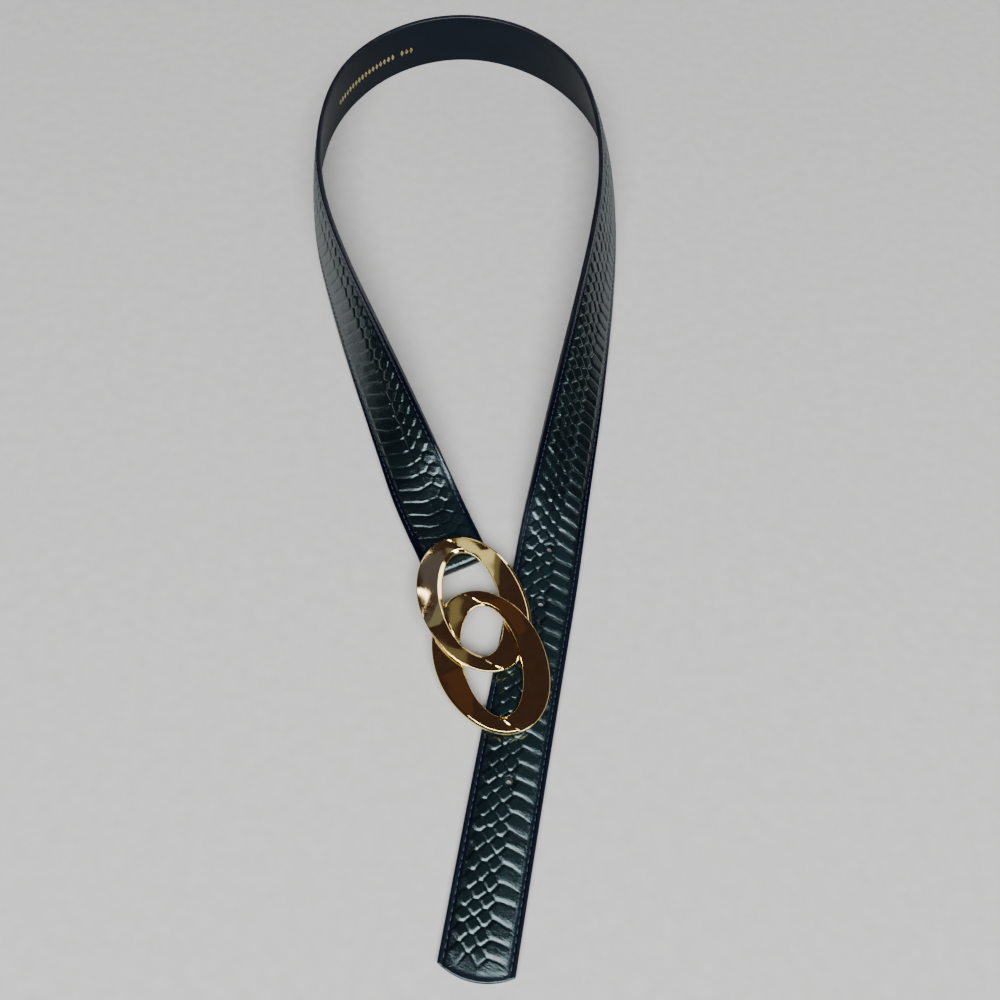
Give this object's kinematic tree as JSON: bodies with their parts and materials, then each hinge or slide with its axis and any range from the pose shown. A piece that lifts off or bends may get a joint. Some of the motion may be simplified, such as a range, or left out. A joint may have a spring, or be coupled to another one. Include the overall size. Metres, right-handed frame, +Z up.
{
  "type": "belt",
  "caption": "Fastened snakeskin belt lying in a loop, its back standing on edge and its punched tail flat, with a buckle of interlocked oval curb links.",
  "frame": {"origin": "on the surface that the belt lies on, below the middle of its bounding box", "axes": "+Z up from that surface, +Y from the free tip of the tail towards the standing back of the loop, +X towards the side that the tail comes from"},
  "size_m": [0.1632, 0.4968, 0.0287],
  "materials": {
    "snakeskin": "glossy, near-black blue scales with navy margins",
    "lining": "satin dark navy",
    "gold": "polished yellow gold plating"
  },
  "bodies": {
    "root": {"strap_face": "snakeskin", "strap_lining": "lining", "link_upper": "gold", "link_lower": "gold", "strap_bar": "gold", "hook_stud": "gold"}
  },
  "joints": []
}
